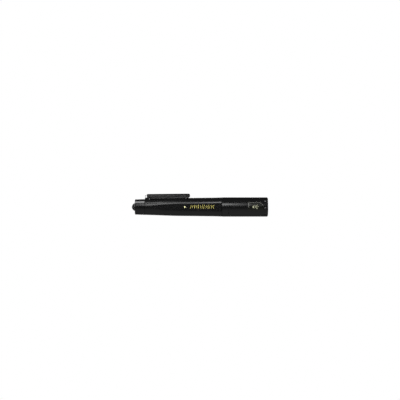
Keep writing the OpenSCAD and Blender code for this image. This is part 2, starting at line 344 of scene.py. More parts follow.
def moulded(name, color, rough, grain=3.5, depth=0.002, wear=0.3, worn=(0.03, 0.03, 0.031)):
    """Injection-moulded plastic: eroded grain, handling smudges, fine scratches, dust, worn edges."""
    t = Tree(name)
    color = np.array(color)
    broad = t.noise(0.07, 3.0)
    smudge = t.noise(0.35, 5.0, rough=0.6)
    base = t.mix(t.span(broad, 0.3, 0.7, 0, 1), tuple(color * 0.86), tuple(color * 1.16))
    speck = t.span(t.cells(0.9), 0.045, 0.02, 0.0, 0.35)
    base = t.mix(speck, base, (0.09, 0.09, 0.085))
    lines = t.span(t.noise(1.0, 6.0, (0.05, 2.2, 2.2), 0.7), 0.60, 0.68, 0.0, 1.0)
    value = t.span(smudge, 0.3, 0.75, rough - 0.03, rough + 0.06)
    value = t.math("ADD", value, t.span(lines, 0, 1, 0, 0.05))
    if wear:
        edge = t.math("MULTIPLY", t.wear(0.18), wear)
        base = t.mix(edge, base, worn)
    t.bump(t.noise(grain, 2.0), depth)
    t.bump(t.noise(0.5, 1.0), depth * 1.5)
    return t.finish(Base_Color=base, Roughness=value, IOR=1.47)


def metal(name, color, rough, stretch, lines=6.0):
    """Bare metal with drawn or turned lines and uneven tarnish."""
    t = Tree(name)
    color = np.array(color)
    streak = t.noise(lines, 4.0, stretch, 0.65)
    patch = t.noise(0.6, 5.0, rough=0.6)
    base = t.mix(t.span(patch, 0.45, 0.8, 0, 0.45), tuple(color), tuple(color * (0.5, 0.45, 0.4)))
    base = t.mix(t.span(streak, 0.3, 0.7, 0, 0.35), base, tuple(np.minimum(color * 1.15, 1)))
    value = t.span(streak, 0.3, 0.7, rough - 0.04, rough + 0.07)
    value = t.math("ADD", value, t.span(patch, 0.4, 0.8, 0, 0.08))
    t.bump(streak, 0.0012)
    return t.finish(Base_Color=base, Metallic=1.0, Roughness=value, IOR=1.5)


def rubber():
    t = Tree("seal_rubber_black")
    color = np.array((0.016, 0.016, 0.017))
    bloom = t.noise(0.8, 5.0, rough=0.65)
    base = t.mix(t.span(bloom, 0.4, 0.75, 0, 0.6), tuple(color), tuple(color * 2.2))
    t.bump(t.noise(5.0, 3.0), 0.006)
    return t.finish(Base_Color=base, Roughness=t.span(bloom, 0.3, 0.7, 0.5, 0.66), IOR=1.5)


def ink(name, color, wear=0.25, rough=0.38):
    """Pad print: uneven cover, with pinholes where the plastic shows."""
    t = Tree(name)
    color = np.array(color)
    cover = t.noise(2.2, 5.0, rough=0.7)
    base = t.mix(t.span(cover, 0.35, 0.7, 0, 1), tuple(color), tuple(color * 0.8))
    holes = t.span(t.noise(5.5, 3.0), 0.66, 0.74, 0.0, wear * 3)
    base = t.mix(holes, base, (0.02, 0.02, 0.02))
    t.bump(cover, 0.002)
    return t.finish(Base_Color=base, Roughness=t.span(cover, 0.3, 0.7, rough, rough + 0.1), IOR=1.5)


def cell_can():
    t = Tree("cell_can_steel")
    streak = t.noise(5.0, 3.0, (3.0, 0.2, 0.2))
    base = t.mix(t.span(streak, 0.3, 0.7, 0, 1), (0.62, 0.62, 0.63), (0.5, 0.5, 0.52))
    t.bump(streak, 0.001)
    return t.finish(Base_Color=base, Metallic=1.0, Roughness=t.span(streak, 0.3, 0.7, 0.2, 0.34), IOR=1.5)


def cell_wrap(low, high):
    """A printed sleeve between two places along x: dark, with a copper-toned band at the front."""
    t = Tree("cell_wrap_film")
    x = t.node("ShaderNodeSeparateXYZ", {0: t.place}).outputs[0]
    band = t.span(x, low + 0.74 * (high - low), low + 0.742 * (high - low), 0, 1)
    fleck = t.noise(3.0, 3.0)
    base = t.mix(band, (0.02, 0.06, 0.035), (0.55, 0.33, 0.12))
    base = t.mix(t.span(fleck, 0.4, 0.7, 0, 0.3), base, (0.05, 0.09, 0.07))
    t.bump(t.noise(0.4, 2.0), 0.01)
    return t.finish(Base_Color=base, Roughness=t.span(fleck, 0.3, 0.7, 0.2, 0.32), IOR=1.5)


def circuit_board(name, mask, copper):
    """Solder mask over copper tracks, seen as slightly raised paler lines."""
    t = Tree(name)
    grid = t.cells(0.55, "DISTANCE_TO_EDGE")
    track = t.span(grid, 0.05, 0.09, 1.0, 0.0)
    grain = t.noise(6.0, 3.0)
    base = t.mix(track, mask, copper)
    base = t.mix(t.span(grain, 0.3, 0.7, 0, 0.25), base, tuple(np.array(mask) * 0.7))
    t.bump(track, 0.03)
    t.bump(grain, 0.004)
    return t.finish(Base_Color=base, Roughness=t.span(grain, 0.3, 0.7, 0.28, 0.42), IOR=1.5)


def phosphor():
    t = Tree("emitter_phosphor")
    grain = t.noise(9.0, 4.0)
    base = t.mix(t.span(grain, 0.3, 0.7, 0, 1), (0.85, 0.6, 0.06), (0.95, 0.72, 0.12))
    t.bump(grain, 0.004)
    value = t.span(grain, 0.3, 0.7, 0.22, 0.3)
    return t.finish(Base_Color=base, Roughness=value, IOR=1.41, Coat_Weight=0.6)


def mirror():
    t = Tree("reflector_coating")
    haze = t.noise(0.8, 5.0, rough=0.6)
    peel = t.noise(1.6, 2.0)
    base = t.mix(t.span(haze, 0.35, 0.75, 0, 1), (0.9, 0.9, 0.91), (0.8, 0.81, 0.83))
    t.bump(peel, 0.004)
    return t.finish(Base_Color=base, Metallic=1.0, Roughness=t.span(haze, 0.3, 0.7, 0.05, 0.12), IOR=1.5)


def clear_lens():
    t = Tree("lens_acrylic")
    haze = t.noise(1.2, 5.0, rough=0.65)
    lines = t.span(t.noise(1.5, 5.0, (1, 0.15, 2.5), 0.7), 0.62, 0.7, 0, 0.05)
    value = t.math("ADD", t.span(haze, 0.35, 0.75, 0.0, 0.05), lines)
    t.bump(haze, 0.0008)
    color = (0.97, 0.985, 0.99)
    return t.finish(Base_Color=color, Roughness=value, IOR=1.49, Transmission_Weight=1.0)


BLACK = (0.0032, 0.0032, 0.0034)
barrel_black = moulded("barrel_plastic", BLACK, 0.26)
head_black = moulded("head_plastic", BLACK, 0.25)
cap_black = moulded("cap_plastic", BLACK, 0.2, depth=0.0012)
clip_black = moulded("clip_plastic", BLACK, 0.34, grain=4.0, depth=0.003)
ring_grey = moulded("ring_plastic", (0.13, 0.13, 0.13), 0.3, worn=(0.2, 0.2, 0.2))
button_black = moulded(
    "button_rubbery_plastic", (0.006, 0.006, 0.0064), 0.45, grain=5.0, depth=0.005, wear=0.15,
)
inner_cream = moulded("inner_plastic_natural", (0.62, 0.6, 0.54), 0.42, worn=(0.7, 0.69, 0.66))
chip_black = moulded("chip_epoxy", (0.02, 0.02, 0.022), 0.45, grain=7.0, depth=0.005, wear=0.0)
seal_rubber = rubber()
brass = metal("contact_brass_plate", (0.72, 0.5, 0.22), 0.24, (1, 4, 4))
pin_steel = metal("pin_steel_ground", (0.66, 0.67, 0.69), 0.42, (4, 0.2, 4))
spring_steel = metal("spring_steel_rolled", (0.29, 0.295, 0.305), 0.26, (1, 6, 1), lines=3.0)
aluminium = metal("sink_aluminium_turned", (0.78, 0.79, 0.8), 0.28, (5, 0.6, 0.6))
print_cream = ink("print_cream", (0.8, 0.78, 0.42))
print_gold = ink("print_gold", (0.66, 0.58, 0.15))
print_dim = ink("print_dim", (0.016, 0.0115, 0.004))
badge_line = ink("badge_line_grey", (0.12, 0.12, 0.11))
badge_plate = ink("badge_plate_olive", (0.004, 0.0046, 0.0022), wear=0.0, rough=0.25)
badge_mark = ink("badge_mark_olive", (0.44, 0.45, 0.3))


# ---- barrel: a tapering tube with two side flats, ears, pocket, neck and thread ----

BARREL_REAR, BARREL_FRONT = 13.25, 92.6
BARREL_S = (13.25, 24, 34, 46, 60, 75, 88, 92.6)
BARREL_R = (8.13, 8.43, 8.81, 9.17, 9.33, 9.52, 9.70, 9.88)
FLAT = 8.24
# across the top, with a pair of points at each edge of the slot and the pocket
TOP_YS = [0, 0.3, 0.7, 1.1, 1.5, 1.85, 1.87, 2.05, 2.4, 2.8, 3.2, 3.6, 3.62, 3.66]
SIDE_ANGLES = np.concatenate((
    np.arange(28, 40, 2), np.arange(40, 140, 1), np.arange(140, 220, 2),
    np.arange(220, 320, 1), np.arange(320, 333, 2),
))
FILLET = 5.0
REAR_EDGE, FRONT_EDGE = 0.18, 0.3
POCKET, LEAF_SLOT = (3.605, 6.7), (1.855, 7.0)  # half width, height of the floor
POCKET_S, LEAF_SLOT_S = (16.4, 17.2, 18.2, 19.2, 19.7), (15.25, 15.75)
PITCH, TURNS = 1.75, 4


def barrel_radius(s):
    return float(curve_through(BARREL_S, BARREL_R, s))


def section_radius(radius, angle):
    """Distance from the axis of a round section cut by a flat on each side, its corners filleted."""
    if radius <= FLAT:
        return radius
    side = math.radians(90 - abs(angle % 180 - 90))
    away = math.pi / 2 - side
    centre = (FLAT - FILLET, math.sqrt((radius - FLAT) * (radius + FLAT - 2 * FILLET)))
    if away <= math.atan2(centre[1], FLAT):
        return FLAT / math.cos(away)
    if away >= math.atan2(centre[1], centre[0]):
        return radius
    along = centre[0] * math.cos(away) + centre[1] * math.sin(away)
    return along + math.sqrt(along**2 - centre[0] ** 2 - centre[1] ** 2 + FILLET**2)


def barrel_ring(s, radius, flats=False, inset=0.0, cut=None):
    """One ring of the barrel. cut = (half width, height) is a flat floor sunk into its top."""
    # on a small radius the top's points keep clear of the first side angle
    fit = min(1.0, radius * math.sin(math.radians(27)) / TOP_YS[-1])

    def top(y):
        y *= fit
        z = math.sqrt((radius - inset) ** 2 - y * y)
        if cut and abs(y) <= cut[0]:
            z = cut[1]
        return (s, y, z)

    ring = [top(-y) for y in TOP_YS]
    for a in SIDE_ANGLES:
        r = section_radius(radius, a) if flats else radius
        ring.append(polar(s, r - inset, a))
    ring += [top(y) for y in TOP_YS[:0:-1]]
    return ring


def barrel_shape():
    rings = []

    def outer(s, inset=0.0, cut=None):
        rings.append(barrel_ring(s, barrel_radius(s), True, inset, cut))

    quarter = np.linspace(0, math.pi / 2, 5)
    for t in quarter:
        outer(BARREL_REAR + REAR_EDGE * (1 - math.cos(t)), REAR_EDGE * (1 - math.sin(t)))
    for s in (13.8, 14.5):
        outer(s)
    for stations, cut in ((LEAF_SLOT_S, LEAF_SLOT), (POCKET_S, POCKET)):
        outer(stations[0])
        for s in stations:
            outer(s, cut=cut)
        outer(stations[-1])
    for s in np.linspace(20.5, 91.5, 72):
        outer(s)
    for t in quarter:
        outer(BARREL_FRONT - FRONT_EDGE * (1 - math.sin(t)), FRONT_EDGE * (1 - math.cos(t)))
    inside = rounded([
        (92.6, 7.3, 0.15), (94, 7.3, 0.1), (94, 6.58, 0.1), (95.4, 6.58, 0.1), (95.4, 7.3, 0.1),
        (109.2, 7.3, 0.1), (109.6, 6.9, 0.1), (109.6, 5.5, 0), (15.4, 5.5, 0), (15.4, 5.75, 0),
        (9.5, 5.75, 0), (9.5, 7, 0.15), (11, 7, 0.05), (11, 6.4, 0.05), (11.8, 6.4, 0.05),
        (11.8, 7, 0.05), (13.25, 7, 0),
    ], steps=3)
    rings += [barrel_ring(s, r) for s, r in inside]
    shape = Shape()
    shape.loft(rings, closed=True)
    return shape


def ear_outline():
    return rounded([
        (13.45, 5.6, 0), (20.3, 5.6, 0), (20, 8.2, 1.1), (19.3, 10.2, 1.6), (16.6, 10.12, 1.2),
        (13.9, 9.3, 0.5), (13.45, 8.8, 0.3),
    ], steps=7)


def thread(shape, base, crest, start, foot):
    """A ridge from one radius to another that fades at its two ends."""
    land, steps = 0.2, 48
    rings = []
    for i in range(TURNS * steps + 1):
        t = i / steps
        height = base + (crest - base) * smoothstep(0, 0.12, min(t, TURNS - t) + 0.01)
        angle = 2 * math.pi * t
        rings.append([
            (start + PITCH * t + a, r * math.sin(angle), -r * math.cos(angle))
            for a, r in ((-foot, base), (-land, height), (land, height), (foot, base))
        ])
    shape.loft(rings, caps=True)


shape = barrel_shape()
for side in (1, -1):
    y0, y1 = sorted((3.7 * side, 5.0 * side))
    slab(shape, ear_outline(), y0, y1, 0.18)
thread(shape, base=7.0, crest=7.75, start=97.0, foot=0.55)
piece("barrel_skin", shape, "barrel", barrel_black, ["barrel"])

shape = Shape()
lathe(shape, arc(94.7, 7.2, 0.6, 0, 345, 23))
piece("neck_ring_skin", shape, "barrel", seal_rubber, ["neck_seal_ring"])


# ---- tail: cap and button ----

shape = Shape()
lathe(shape, rounded([
    (3.2, 4.23, 0.22), (3.2, 7.78, 0.5), (13.2, 8.12, 0.18), (13.2, 7.05, 0.05), (9.4, 7.05, 0),
    (9.4, 5.75, 0), (5.2, 5.75, 0), (5.2, 4.23, 0),
], steps=6), 192)
piece("tail_cap_skin", shape, "barrel", cap_black, ["tail_cap"])

shape = Shape()
dome = [(4.15 - 4.15 * math.cos(t), 4.15 * math.sin(t)) for t in np.linspace(0, math.pi / 2, 25)]
lathe(shape, dome + rounded([
    (4.3, 4.15, 0), (5.25, 4.15, 0.05), (5.25, 4.9, 0.1), (6.25, 4.9, 0.1), (6.25, 1.6, 0.1),
    (8.4, 1.6, 0.1), (8.4, 0, 0),
], steps=3, closed=False), 144, closed=False)
piece("button_skin", shape, "button", button_black, ["button_cap"])


# ---- pocket clip: a channel with crowned cheeks, hinge lobes and a closed nose ----

CLIP_REAR, HEEL = 15.45, 0.9
CLIP_HALF, CLIP_INNER, CLIP_WEB = 3.5, 2.1, 12.35
HEEL_TOP, REAR_TOP, FRONT_TOP = 12.35, 13.34, 13.73
PIN_S, PIN_Z, LOBE_R = 18.0, 8.2, 1.35
CHANNEL_START, WALL_S, CHANNEL_END = 20.4, 54.8, 55.2  # the closed nose begins at WALL_S
NOSE_S, NOSE_Z, NOSE_R = 58.3, 12.03, 1.7  # the arc of its tip, seen from the side
PLAN_S, PLAN_R = 57.6, 2.4  # and of its corners, seen from above
NOSE_UNDER = (
    (58.0, 9.394), (58.4, 9.48), (58.9, 9.75), (59.3, 10.12), (59.6, 10.6), (59.85, 11.2), (60.0, 12.0),
)
CROWN_POINTS, CHEEK_POINTS, FOOT_POINTS = 12, 7, 4


def clip_top(s):
    if s < CLIP_REAR + HEEL:
        t = (CLIP_REAR + HEEL - s) / HEEL
        return HEEL_TOP + (REAR_TOP - HEEL_TOP) * math.sqrt(max(0.0, 1 - t**2.2))
    if s > NOSE_S:
        return NOSE_Z + math.sqrt(max(0.0, NOSE_R**2 - (s - NOSE_S) ** 2))
    return REAR_TOP + (FRONT_TOP - REAR_TOP) * min(1.0, (s - 16.3) / 38.7)


def clip_bottom(s):
    """Heel, hinge lobes, the long lower edge of the cheeks, and the bump under the nose."""
    if s < 16.62:
        return 10.1
    if s < 19.45:
        return PIN_Z - math.sqrt(max(0.0, LOBE_R**2 - (s - PIN_S) ** 2))
    if s < CHANNEL_START:
        return 7.75 + 0.4 * smoothstep(19.2, CHANNEL_START, s)
    if s < WALL_S:
        return 8.15 + 0.8 * (s - CHANNEL_START) / (WALL_S - CHANNEL_START)
    if s < 55.3:
        return 8.95 + 0.45 * smoothstep(WALL_S, 55.3, s)
    if s < NOSE_UNDER[0][0]:
        return 9.36 + 0.04 * ((s - 56.7) / 1.4) ** 2
    return float(curve_through(*zip(*NOSE_UNDER), s))


def barrel_clearance(s):
    """Radius under which the clip has no material, so that it stays off the barrel."""
    if s < 19.4 or s > CHANNEL_END:
        return 0.0
    return float(np.interp(s, (19.4, 46, CHANNEL_END), (8.58, 9.45, 9.56)))


def clip_ring(s, hollow):
    """A section of the clip: over its back, down a cheek, and up its inside or across its underside."""
    top, low = clip_top(s), clip_bottom(s)
    half = CLIP_HALF
    if s > PLAN_S:
        half = CLIP_HALF - PLAN_R + math.sqrt(max(0.0, PLAN_R**2 - (s - PLAN_S) ** 2))
    tall = top - low
    drop = min(2.3, 0.55 * tall)
    lean = min(0.19, 0.06 * tall) * (1 - 0.95 * smoothstep(53.4, 55, s))
    path = []
    # over the crowned back, from the middle to the shoulder
    y1, z1 = half - lean, top - drop
    crown = (y1**2 + drop**2) / (2 * drop)
    reach = math.asin(min(1.0, y1 / crown)) if drop < y1 else math.pi / 2
    for t in np.linspace(0, 0.93, CROWN_POINTS):
        path.append((crown * math.sin(reach * t), top - crown + crown * math.cos(reach * t)))
    # round the shoulder onto the cheek
    y2, z2 = path[-1]
    below = z1 - 0.07 * tall
    path.append((0.55 * y1 + 0.45 * (y2 + y1) / 2 + 0.02, z1 + 0.25 * (z2 - z1)))
    path.append((y1, below))
    # down the cheek
    foot = min(0.3, 0.15 * tall)
    y1, z1 = path[-1]
    for t in np.linspace(0, 1, CHEEK_POINTS + 1)[1:]:
        path.append((y1 + (half - y1) * t**2, z1 + (low + foot - z1) * t))
    # round the lower edge
    for t in np.linspace(0, 90, FOOT_POINTS + 1)[1:]:
        a = math.radians(t)
        path.append((half - foot + foot * math.cos(a), low + foot - foot * math.sin(a)))
    inner = min(CLIP_INNER, half - foot - 0.05)
    path.append((inner + 0.12, low))
    if hollow:
        path += [(inner, low + 0.12), (inner, low + 0.6)]
        path += [(inner, z) for z in np.linspace(low + 0.6, CLIP_WEB - 0.45, 5)[1:]]
        path += [
            (inner - 0.4 + 0.4 * math.cos(t), CLIP_WEB - 0.4 + 0.4 * math.sin(t))
            for t in np.radians((20, 45, 70, 90))
        ]
        path += [(y, CLIP_WEB) for y in np.linspace(inner - 0.4, 0, 5)[1:]]
    else:
        path += [(y, low) for y in np.linspace(inner, 0, 14)]
    keep_off = barrel_clearance(s)
    ring = []
    for y, z in path:
        if keep_off > y and z < math.sqrt(keep_off**2 - y * y):
            z = math.sqrt(keep_off**2 - y * y)
        ring.append((s, -y, z))
    return ring + [(s, -y, z) for _, y, z in ring[-2:0:-1]]


def clip_shape():
    stations = [CLIP_REAR + HEEL * (1 - math.cos(t)) for t in np.linspace(0, math.pi / 2, 8)]
    stations += [16.6, 16.66]
    stations += [PIN_S + LOBE_R * math.sin(t) for t in np.radians(np.linspace(-75, 75, 19))]
    stations += [19.41, 19.6, 19.8, 20.1, CHANNEL_START, 20.9]
    stations += list(np.linspace(22, 54, 33))
    stations += [54.4, WALL_S, 54.9, 55.0, 55.1, CHANNEL_END]
    rings = [clip_ring(s, True) for s in sorted(stations)]
    solid = [CHANNEL_END + 1e-4, 55.3, 55.4, 55.5, 55.6, 56, 56.4, 56.8, 57.2, PLAN_S, 57.9, 58.1, NOSE_S]
    solid += [NOSE_S + 1.69 * math.sin(t) for t in np.linspace(0.15, math.pi / 2, 11)]
    rings += [clip_ring(s, False) for s in solid]
    shape = Shape()
    shape.loft(rings)
    # the ends: strips between the two halves of each ring
    for ring, flip in ((rings[0], 1), (rings[-1], -1)):
        shape.add(ring, end_faces(len(ring), flip))
    return shape


def end_faces(count, flip):
    """Quads that close a U-shaped or solid section, pairing its outer points with its inner ones."""
    outer = CROWN_POINTS + 2 + CHEEK_POINTS + FOOT_POINTS + 1
    half = (count + 2) // 2
    faces = []
    right = list(range(half))
    left = [0] + [count - i for i in range(1, half - 1)] + [half - 1]
    for side in (right, left):
        out, inn = side[:outer], side[outer - 1:][::-1]
        n = max(len(out), len(inn))
        a = [out[min(len(out) - 1, round(i * (len(out) - 1) / (n - 1)))] for i in range(n)]
        b = [inn[min(len(inn) - 1, round(i * (len(inn) - 1) / (n - 1)))] for i in range(n)]
        for i in range(n - 1):
            quad = []
            for v in (a[i], a[i + 1], b[i + 1], b[i]):
                if v not in quad:
                    quad.append(v)
            if len(quad) > 2:
                faces.append(tuple(quad[::flip]))
    return faces


piece("clip_skin", clip_shape(), "clip", clip_black, ["pocket_clip"], sharp=50)

shape = Shape()
pin = [(0.42 * math.cos(t), 0.6 * math.sin(t)) for t in np.linspace(0, math.pi / 2, 7)]
profile = [(-4.72 - a, r) for a, r in pin] + [(4.72 + a, r) for a, r in pin[::-1]]
angles = np.radians(np.arange(0, 360, 10))
shape.loft([[(PIN_S + r * math.cos(a), y, PIN_Z + r * math.sin(a)) for a in angles] for y, r in profile])
piece("clip_pin_skin", shape, "barrel", pin_steel, ["clip_pin"])


def leaf_shape():
    """A flat strip bent back over itself, with its foot down in the barrel's slot."""
    middle = [(20.0, 12.12), (17.5, 12.12)] + arc(14.95, 10.84, 1.28, 90, 250, 20)
    middle += rounded([(14.7, 9.56, 0), (15.5, 9.56, 0.35), (15.5, 7.05, 0)], steps=6, closed=False)[1:]
    middle = np.array(middle)
    along = np.gradient(middle, axis=0)
    along /= np.linalg.norm(along, axis=1)[:, None]
    normal = np.stack((-along[:, 1], along[:, 0]), 1)
    section = rounded(
        [(-1.8, -0.2, 0.12), (1.8, -0.2, 0.12), (1.8, 0.2, 0.12), (-1.8, 0.2, 0.12)], steps=3
    )
    rings = [
        [(p[0] + n[0] * b, a, p[1] + n[1] * b) for a, b in section] for p, n in zip(middle, normal)
    ]
    shape = Shape()
    shape.loft(rings, caps=True)
    return shape


piece(
    "leaf_spring", leaf_shape(), None, spring_steel, ["clip_spring"],
    blend=("barrel", "clip", (15, 0, 9.4), (15, 0, 12.3)),
)


# ---- head: a plain cylinder with an index slot, eight stud holes and a rounded rim ----

HEAD_R = 9.93
HEAD_REAR, HEAD_FRONT, RIM = 92.7, 140.0, 1.35
SEAT_R, CAVITY_R = 7.85, 8.0
JOIN_S = (103, 103.8)  # where the columns change from those of the slot to those of the studs
SLOT_ANGLE, SLOT_HALF_ANGLE, SLOT_DEPTH = 122.0, math.degrees(2.5 / 9.95), 1.2
SLOT_S = (98.95, 99.85)
STUD_S, STUD_ANGLES = 137.0, [95 + 45 * k for k in range(8)]
HOLE_R, HOLE_EDGE, HOLE_DEPTH = 1.05, 0.15, 1.75
PATCH, PATCH_STEPS = 1.6, 10  # half side of the square round a stud hole, and its points a side
CREEP = (-0.1, -0.04, -0.02, 0.0, 0.02, 0.04, 0.12)  # points across an edge of the slot


def slot_columns():
    near = [
        SLOT_ANGLE + side * (SLOT_HALF_ANGLE - math.degrees(t / HEAD_R))
        for side in (1, -1) for t in CREEP
    ]
    far = [a for a in np.arange(0, 360, 2.5) if abs(abs(a - SLOT_ANGLE) - SLOT_HALF_ANGLE) > 1.2]
    return np.array(sorted(near + far))


def band_columns():
    half = [math.degrees(math.asin(v / HEAD_R)) for v in np.linspace(-PATCH, PATCH, PATCH_STEPS + 1)]
    angles = []
    for a in STUD_ANGLES:
        angles += [(a + h) % 360 for h in half]
        angles += [(a + h) % 360 for h in np.linspace(half[-1], 45 + half[0], 13)[1:-1]]
    return np.array(sorted(angles))


def head_shape():
    shape = Shape()
    rear, band = slot_columns(), band_columns()

    def ring(angles, s, r):
        return [polar(s, r, a) for a in angles]

    def sunk(s):
        """The rear part's surface, with the index slot let into it."""
        along = smoothstep(-0.04, 0.04, min(s - SLOT_S[0], SLOT_S[1] - s))
        out = []
        for a in rear:
            into = math.radians(SLOT_HALF_ANGLE - abs(a - SLOT_ANGLE)) * HEAD_R
            out.append(polar(s, HEAD_R - SLOT_DEPTH * smoothstep(-0.04, 0.04, into) * along, a))
        return out

    # rear part: from the bore, round the rear edge, to just past the slot
    back = rounded([
        (JOIN_S[0], SEAT_R, 0), (HEAD_REAR, SEAT_R, 0.2), (HEAD_REAR, HEAD_R, 0.28), (98, HEAD_R, 0),
    ], steps=5, closed=False)
    rows = [ring(rear, s, r) for s, r in back[:-1]]
    stations = [95, 97, 98.3] + [SLOT_S[0] + t for t in CREEP]
    stations += [99.4] + [SLOT_S[1] - t for t in CREEP[::-1]] + [100.4, JOIN_S[0]]
    rows += [sunk(s) for s in stations]
    shape.loft(rows)
    shape.zip(rows[-1], ring(band, JOIN_S[1], HEAD_R), rear, band)
    # front part: from there to the stud holes
    rows = [ring(band, s, HEAD_R) for s in (JOIN_S[1], 108, 113, 118, 123, 128, 132, STUD_S - PATCH)]
    shape.loft(rows)
    stations = np.linspace(STUD_S - PATCH, STUD_S + PATCH, PATCH_STEPS + 1)
    grid = [ring(band, s, HEAD_R) for s in stations]
    reach = math.degrees(math.asin(PATCH / HEAD_R))

    def between_holes(i, j):
        after = band[(j + 1) % len(band)] + (360 if j + 1 == len(band) else 0)
        middle = (band[j] + after) / 2
        return all(abs((middle - a + 180) % 360 - 180) > reach for a in STUD_ANGLES)

    shape.loft(grid, keep=between_holes)
    for a in STUD_ANGLES:
        stud_hole(shape, math.radians(a))
    # rim, lip and lamp cavity
    rim = [
        (HEAD_FRONT - RIM + RIM * math.sin(t), HEAD_R - RIM + RIM * math.cos(t))
        for t in np.linspace(0, math.pi / 2, 13)
    ]
    inner = rounded([
        (HEAD_FRONT, HEAD_R - RIM, 0), (HEAD_FRONT, 8.2, 0.12), (139.75, CAVITY_R, 0.1),
        (111.4, CAVITY_R, 0), (111.4, 6.3, 0), (110.2, 6.3, 0), (110.2, SEAT_R, 0), (JOIN_S[1], SEAT_R, 0),
    ], steps=4, closed=False)
    rows = [ring(band, s, r) for s, r in [(STUD_S + PATCH, HEAD_R)] + rim + inner[1:]]
    shape.loft(rows)
    shape.zip(ring(rear, JOIN_S[0], SEAT_R), rows[-1], rear, band)
    return shape


def stud_hole(shape, angle):
    """A square patch of the surface with a round hole in it, its rim rounded and its floor closed."""
    out = np.array((-math.sin(angle), math.cos(angle)))
    across = np.array((-math.cos(angle), -math.sin(angle)))
    step = 2 * PATCH / PATCH_STEPS
    side = [-PATCH + step * i for i in range(PATCH_STEPS)]
    square = [(PATCH, v) for v in side] + [(-u, PATCH) for u in side]
    square += [(-PATCH, -v) for v in side] + [(u, -PATCH) for u in side]

    def at(u, v, depth):
        y, z = out * (math.sqrt(HEAD_R**2 - v * v) - depth) + across * v
        return (STUD_S + u, y, z)

    rings = []
    for share in (0, 0.3, 0.6, 0.85, 1):
        ring = []
        for u, v in square:
            k = (1 - share) + share * (HOLE_R + HOLE_EDGE) / math.hypot(u, v)
            ring.append(at(u * k, v * k, 0))
        rings.append(ring)
    bore = [
        (HOLE_R + HOLE_EDGE * (1 - math.sin(t)), HOLE_EDGE * (1 - math.cos(t)))
        for t in np.linspace(0, math.pi / 2, 5)
    ]
    bore += [(HOLE_R, 0.6), (HOLE_R, HOLE_DEPTH), (0.6, HOLE_DEPTH), (0.0, HOLE_DEPTH)]
    for radius, depth in bore[1:]:
        ring = []
        for u, v in square:
            k = radius / math.hypot(u, v)
            ring.append(at(u * k, v * k, depth))
        rings.append(ring)
    shape.loft(rings)


shape = head_shape()
thread(shape, base=8.1, crest=7.45, start=97.875, foot=0.6)
piece("head_skin", shape, "head", head_black, ["head_shell"])


# ---- lens ring with its studs, lens, reflector and emitter ----

shape = Shape()
lathe(shape, rounded([
    (135.17, 6.7, 0.1), (135.17, 7.95, 0), (139, 7.95, 0.12), (139, 7.3, 0.25),
], steps=5))
# radius, and distance from the axis
STUD = (
    (0, 9.5), (0.3, 9.47), (0.55, 9.4), (0.78, 9.27), (0.92, 9.12), (0.99, 8.95), (1.0, 8.8), (1.0, 7.6),
    (0, 7.6),
)
for a in np.radians(STUD_ANGLES):
    out = np.array((0, -math.sin(a), math.cos(a)))
    across = np.array((0, -math.cos(a), -math.sin(a)))
    shape.loft([
        [
            (STUD_S + r * math.cos(t), *(out * h + across * r * math.sin(t))[1:])
            for t in np.radians(np.arange(0, 360, 10))
        ]
        for r, h in STUD
    ])
piece("lens_ring_skin", shape, "head", ring_grey, ["lens_ring"])

shape = Shape()
lathe(shape, rounded([
    (132.55, 0, 0), (132.55, 7.9, 0.15), (134.35, 7.9, 0.15), (134.35, 0, 0),
], closed=False), closed=False)
lens = piece("lens_skin", shape, "head", clear_lens(), ["lens_window"])
lens.visible_shadow = False

shape = Shape()
BOARD_S = 120.96
bowl = [(BOARD_S + 11.54 * t * t, 2.6 + 4.5 * t) for t in np.linspace(0, 1, 33)]
outside = rounded([
    (132.5, 7.1, 0), (132.5, 7.9, 0.1), (131.3, 7.9, 0.1), (122.56, 5.8, 0.3), (BOARD_S, 4.4, 0),
], steps=3, closed=False)
lathe(shape, bowl + outside[1:], 192)
piece("reflector_skin", shape, "head", mirror(), ["reflector"], sharp=30)

shape = Shape()
EMITTER_S, EMITTER_HALF, DOME_R = 121.66, 1.75, 1.3
base = rounded([
    (s, z, 0.1) for s, z in (
        (BOARD_S, -EMITTER_HALF), (EMITTER_S, -EMITTER_HALF), (EMITTER_S, EMITTER_HALF),
        (BOARD_S, EMITTER_HALF),
    )
], steps=3)
slab(shape, base, -EMITTER_HALF, EMITTER_HALF, 0.08)
dome = [
    (121.56 + DOME_R * math.sin(t), DOME_R * math.cos(t)) for t in np.linspace(0.05, math.pi / 2, 12)
]
lathe(shape, [(121.5, 0), (121.5, DOME_R)] + dome, 48, closed=False)
piece("emitter_skin", shape, "head", phosphor(), ["led_emitter"])


# ---- springs between two bodies ----


def coil(shape, radius, wire, start, end, turns):
    """A compression spring with its end turns laid flat."""
    path = []
    for t in np.linspace(0, turns, int(turns * 36) + 1):
        share = smoothstep(0, 1, t / turns) * 0.25 + 0.75 * t / turns
        s = start + wire + (end - start - 2 * wire) * share
        angle = 2 * math.pi * t
        path.append((s, radius * math.sin(angle), -radius * math.cos(angle)))
    tube(shape, path, wire, 10)


shape = Shape()
coil(shape, 3.2, 0.23, 15.5, 19.97, 4)
piece("battery_coil", shape, None, spring_steel, ["battery_spring"],
      blend=("barrel", "cells", (15.5, 0, 0), (19.97, 0, 0)))

shape = Shape()
coil(shape, 2.45, 0.2, 10.95, 14.15, 3)
piece("plunger_coil", shape, None, spring_steel, ["plunger_spring"],
      blend=("button", "barrel", (10.95, 0, 0), (14.15, 0, 0)))


# ---- print on the flat and badge on the head: generic marks, raised by the thickness of the ink ----


def flat_bar(shape, s0, s1, z0, z1, slant=0.0):
    """A slanted bar of ink on the camera-side flat."""
    planes = (-FLAT + 0.03, -FLAT - 0.025)
    outline = [(s0, z0), (s1, z0), (s1 + slant, z1), (s0 + slant, z1)]
    shape.loft([[(s, y, z) for s, z in outline] for y in planes], caps=True)


